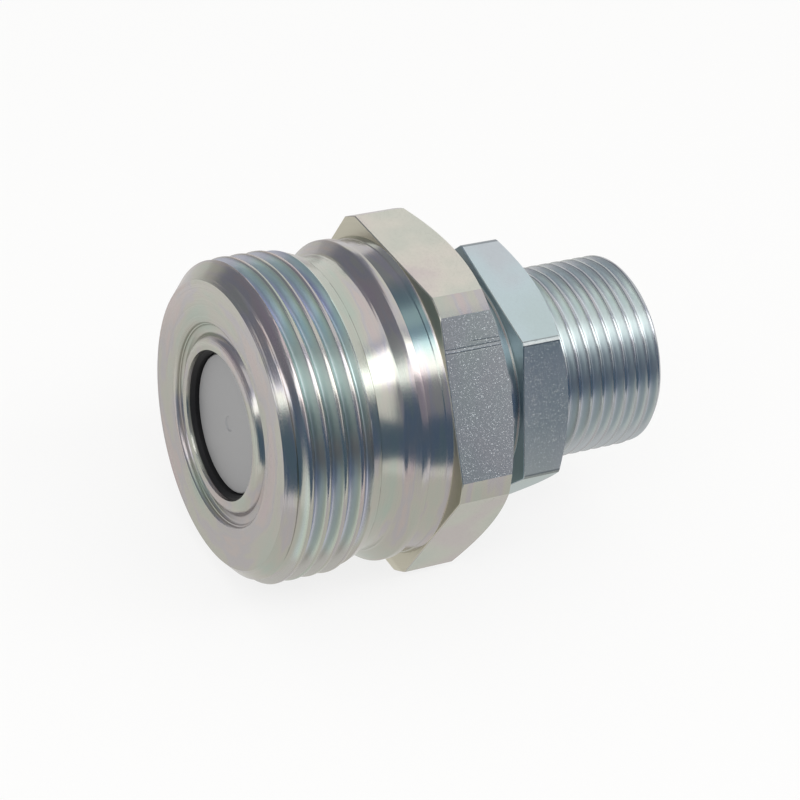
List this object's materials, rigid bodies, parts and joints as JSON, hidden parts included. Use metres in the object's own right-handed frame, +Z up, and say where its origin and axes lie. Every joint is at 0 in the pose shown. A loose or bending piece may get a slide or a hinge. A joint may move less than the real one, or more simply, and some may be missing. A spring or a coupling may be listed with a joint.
{
  "type": "hydraulic brake line coupling half",
  "caption": "Threaded male half of a screw-together brake line coupling: two hexagons, a flat sprung valve in front and a threaded pipe port behind.",
  "frame": {"origin": "centre of the flat front face, on the coupling's axis", "axes": "+X along the axis from the front face to the pipe port; +Z up, out of one flat of the large hexagon, with the opposite flat down on the surface that the part lies on; +Y completes the frame"},
  "size_m": [0.0503, 0.0402, 0.036],
  "materials": {
    "zinc_body": "turned steel with a thin bright zinc plate that shimmers green and pink",
    "zinc_adapter": "turned steel with a thin bright bluish zinc plate",
    "valve_steel": "matt grey stainless steel",
    "spring_steel": "drawn spring wire",
    "guide_steel": "machined steel with a yellowish plate",
    "black_rubber": "smooth moulded nitrile rubber",
    "white_plastic": "turned white fluoropolymer"
  },
  "bodies": {
    "housing": {"coupling_body": "zinc_body", "port_adapter": "zinc_adapter", "mouth_seal": "black_rubber", "mouth_support_ring": "white_plastic", "valve_spring": "spring_steel", "valve_guide": "guide_steel", "joint_ring_seal": "black_rubber", "joint_support_ring": "white_plastic"},
    "valve": {"valve_poppet": "valve_steel", "valve_ring_seal": "black_rubber"}
  },
  "joints": [
    {"name": "valve_slide", "type": "slide", "parent": "housing", "child": "valve", "axis": [1, 0, 0], "range_m": [0, 0.005], "stiffness_N_per_m": 5500, "springref_m": -0.005, "deforming": ["valve_spring"]}
  ]
}
